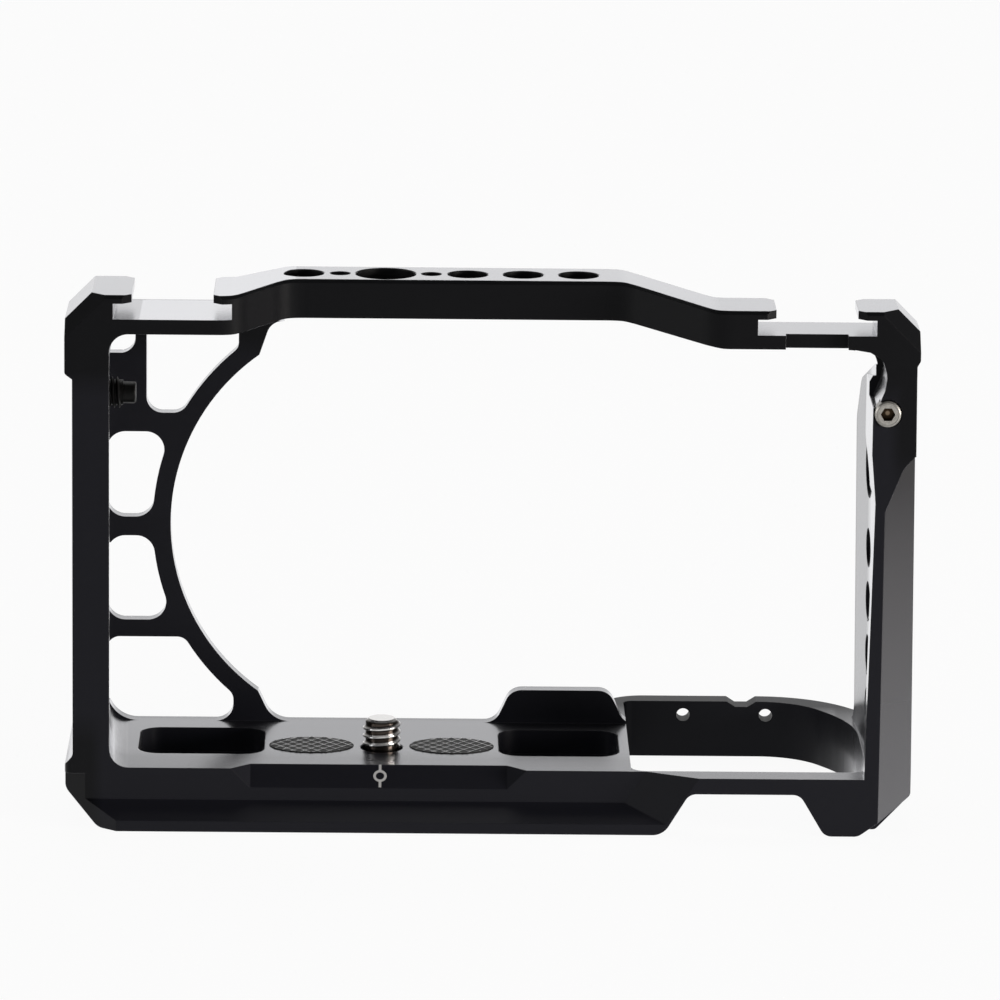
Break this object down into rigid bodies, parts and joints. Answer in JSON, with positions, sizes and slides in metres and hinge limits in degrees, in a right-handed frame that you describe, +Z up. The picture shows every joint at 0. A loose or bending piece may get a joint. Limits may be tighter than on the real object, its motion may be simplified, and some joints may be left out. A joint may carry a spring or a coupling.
{
  "type": "camera cage",
  "caption": "Milled aluminium cage that wraps a small camera, with a base screw, two cold shoes, threaded holes and a loop below the grip.",
  "frame": {"origin": "on the camera screw's axis, in the face the camera sits on", "axes": "+X along the camera's back towards the grip loop, +Y from the camera's back towards the lens, +Z up"},
  "size_m": [0.1342, 0.0546, 0.087],
  "materials": {
    "black_anodised": "satin black anodised",
    "stainless": "stainless steel",
    "black_steel": "black oxide",
    "pad_rubber": "diamond pattern",
    "soft_tip": "smooth nylon"
  },
  "bodies": {
    "frame": {"base_plate": "black_anodised", "rear_rail": "black_anodised", "grip_loop": "black_anodised", "right_side": "black_anodised", "right_cold_shoe": "black_anodised", "top_bar": "black_anodised", "left_cold_shoe": "black_anodised", "left_side": "black_anodised", "lens_web": "black_anodised", "front_bridge": "black_anodised", "camera_screw_snap_ring": "black_steel", "left_anti_slip_pad": "pad_rubber", "right_anti_slip_pad": "pad_rubber"},
    "screw_carrier": {"camera_screw_washer": "black_steel"},
    "camera_screw": {"camera_screw": "stainless"},
    "grub_tip": {"left_lug_screw_tip": "soft_tip"},
    "grub_screw": {"left_lug_screw": "black_steel"},
    "cap_screw": {"right_lug_screw": "stainless"}
  },
  "joints": [
    {"name": "camera_screw_drop", "type": "slide", "parent": "frame", "child": "screw_carrier", "axis": [0, 0, -1], "range_m": [0, 0.00292]},
    {"name": "camera_screw_turn", "type": "hinge", "parent": "screw_carrier", "child": "camera_screw", "pos_m": [0, 0, 0], "axis": [0, 0, -1], "range_deg": [0, 828]},
    {"name": "left_lug_tip_travel", "type": "slide", "parent": "frame", "child": "grub_tip", "axis": [1, 0, 0], "range_m": [-0.0032, 0.0016]},
    {"name": "left_lug_screw_turn", "type": "hinge", "parent": "grub_tip", "child": "grub_screw", "pos_m": [-0.0416, 0.004, 0.057], "axis": [1, 0, 0], "range_deg": [-1440, 720]},
    {"name": "right_lug_screw_turn", "type": "hinge", "parent": "frame", "child": "cap_screw", "pos_m": [0.0788, -0.0165, 0.0592], "axis": [0, 1, 0], "range_deg": [-1080, 0]}
  ],
  "couplings": [
    {"joint": "camera_screw_turn", "follows": "camera_screw_drop", "rad_per_m": 4947.4},
    {"joint": "left_lug_screw_turn", "follows": "left_lug_tip_travel", "rad_per_m": 7854}
  ]
}
